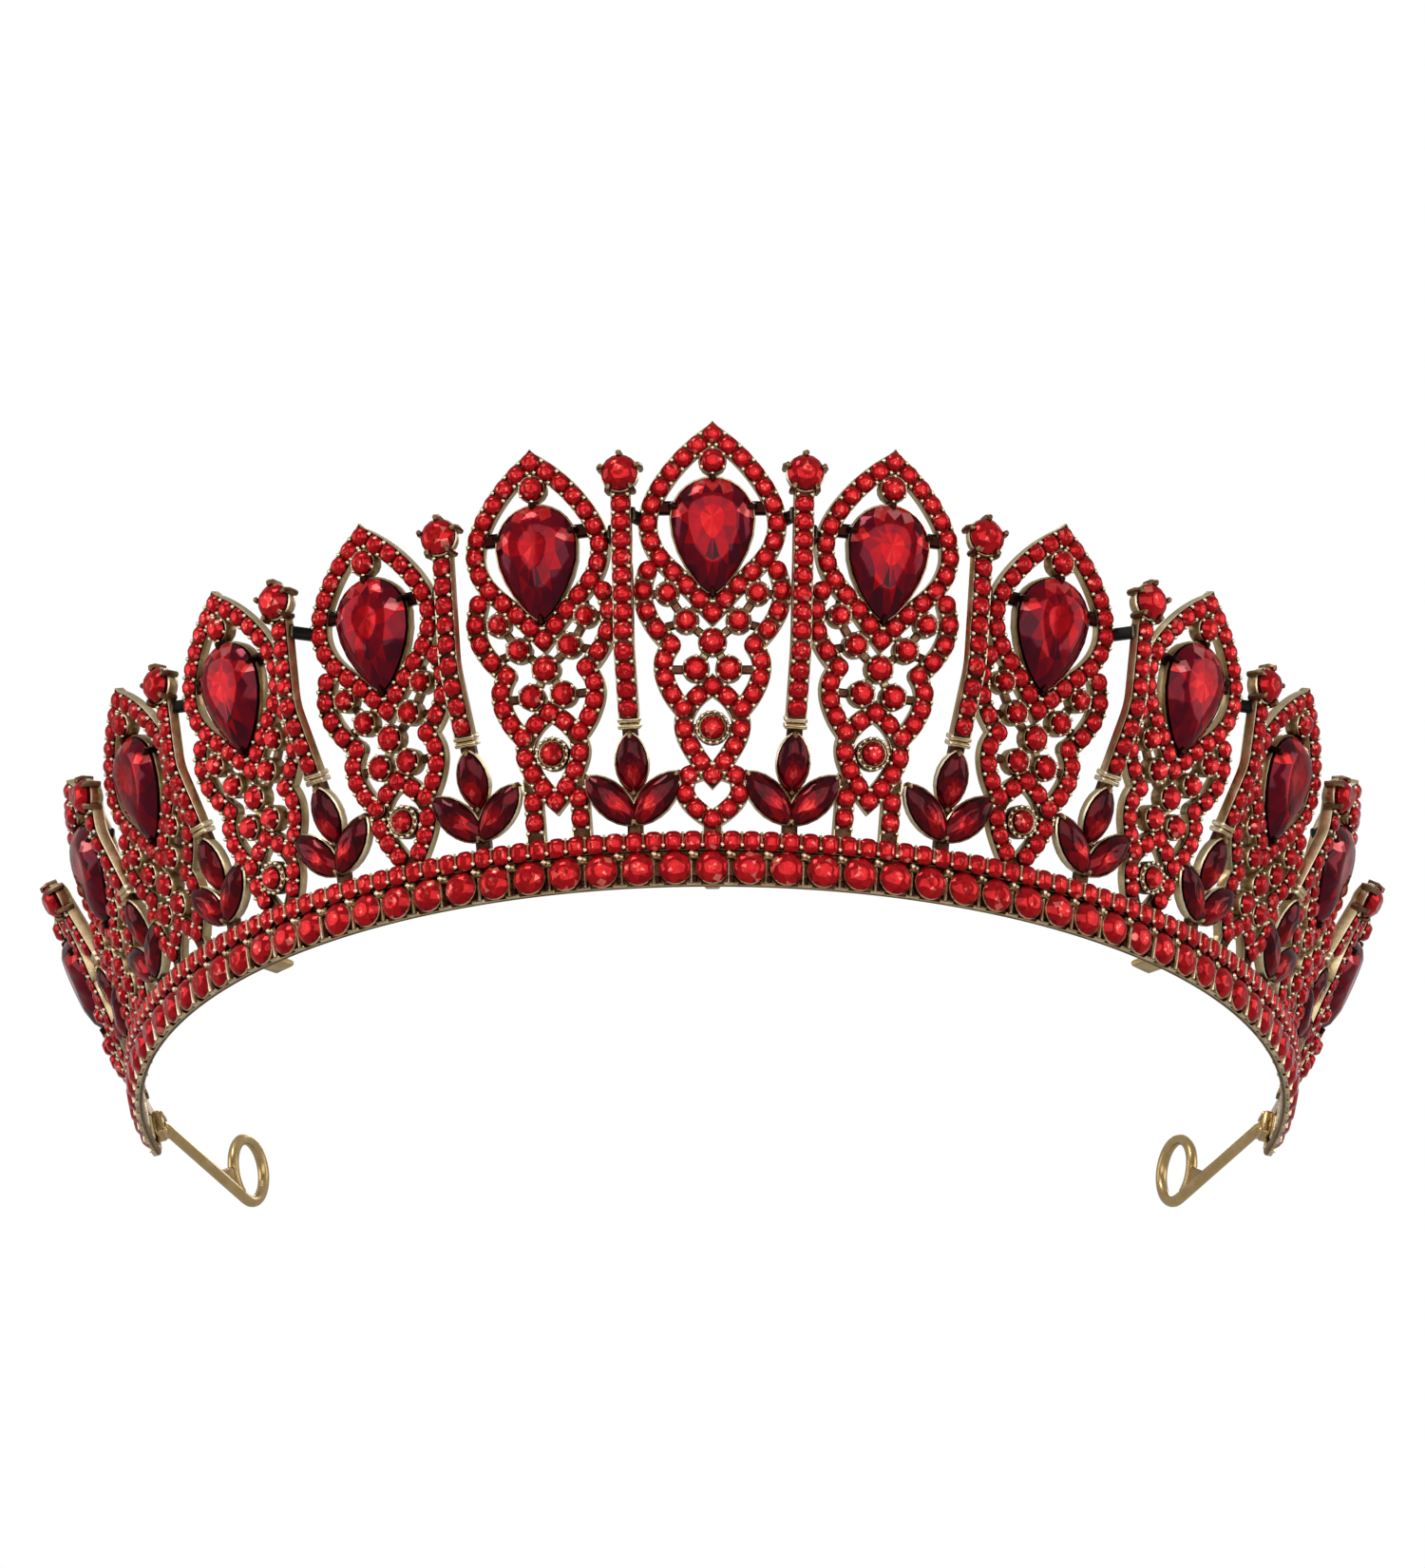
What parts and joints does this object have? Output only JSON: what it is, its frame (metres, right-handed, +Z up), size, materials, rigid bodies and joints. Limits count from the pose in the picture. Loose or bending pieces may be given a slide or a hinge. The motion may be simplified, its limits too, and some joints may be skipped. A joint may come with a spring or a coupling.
{
  "type": "crown",
  "caption": "Open-backed rhinestone crown: two-row stone band, leaf spires with pear stones, slim posts with finials, and a wire loop at each end.",
  "frame": {"origin": "on the plane of the band's underside, at the centre of the whole crown seen from above", "axes": "+Z up from the band's underside, the front spire faces -Y, +X to the right seen from the front"},
  "size_m": [0.1814, 0.1308, 0.0546],
  "materials": {
    "antique_gold": "satin",
    "gold_wire": "satin",
    "blackened_link": "satin",
    "red_crystal": "polished",
    "ruby_pear_stone": "polished",
    "garnet_marquise_stone": "polished"
  },
  "bodies": {
    "root": {"base_rail": "antique_gold", "bead_stones": "red_crystal", "finial_stones": "red_crystal", "inner_tabs": "gold_wire", "large_band_stones": "red_crystal", "left_end_clip": "gold_wire", "left_wire_loop": "gold_wire", "link_bars": "blackened_link", "lower_cup_row": "antique_gold", "marquise_stones": "garnet_marquise_stone", "pear_stone_centre": "ruby_pear_stone", "pear_stone_left_1": "ruby_pear_stone", "pear_stone_left_2": "ruby_pear_stone", "pear_stone_left_3": "ruby_pear_stone", "pear_stone_left_4": "ruby_pear_stone", "pear_stone_left_5": "ruby_pear_stone", "pear_stone_left_6": "ruby_pear_stone", "pear_stone_right_1": "ruby_pear_stone", "pear_stone_right_2": "ruby_pear_stone", "pear_stone_right_3": "ruby_pear_stone", "pear_stone_right_4": "ruby_pear_stone", "pear_stone_right_5": "ruby_pear_stone", "pear_stone_right_6": "ruby_pear_stone", "post_left_1": "antique_gold", "post_left_2": "antique_gold", "post_left_3": "antique_gold", "post_left_4": "antique_gold", "post_left_5": "antique_gold", "post_left_6": "antique_gold", "post_right_1": "antique_gold", "post_right_2": "antique_gold", "post_right_3": "antique_gold", "post_right_4": "antique_gold", "post_right_5": "antique_gold", "post_right_6": "antique_gold", "post_stones": "red_crystal", "right_end_clip": "gold_wire", "right_wire_loop": "gold_wire", "round_gems": "red_crystal", "small_band_stones": "red_crystal", "spire_centre": "antique_gold", "spire_left_1": "antique_gold", "spire_left_2": "antique_gold", "spire_left_3": "antique_gold", "spire_left_4": "antique_gold", "spire_left_5": "antique_gold", "spire_left_6": "antique_gold", "spire_right_1": "antique_gold", "spire_right_2": "antique_gold", "spire_right_3": "antique_gold", "spire_right_4": "antique_gold", "spire_right_5": "antique_gold", "spire_right_6": "antique_gold", "upper_cup_row": "antique_gold"}
  },
  "joints": []
}
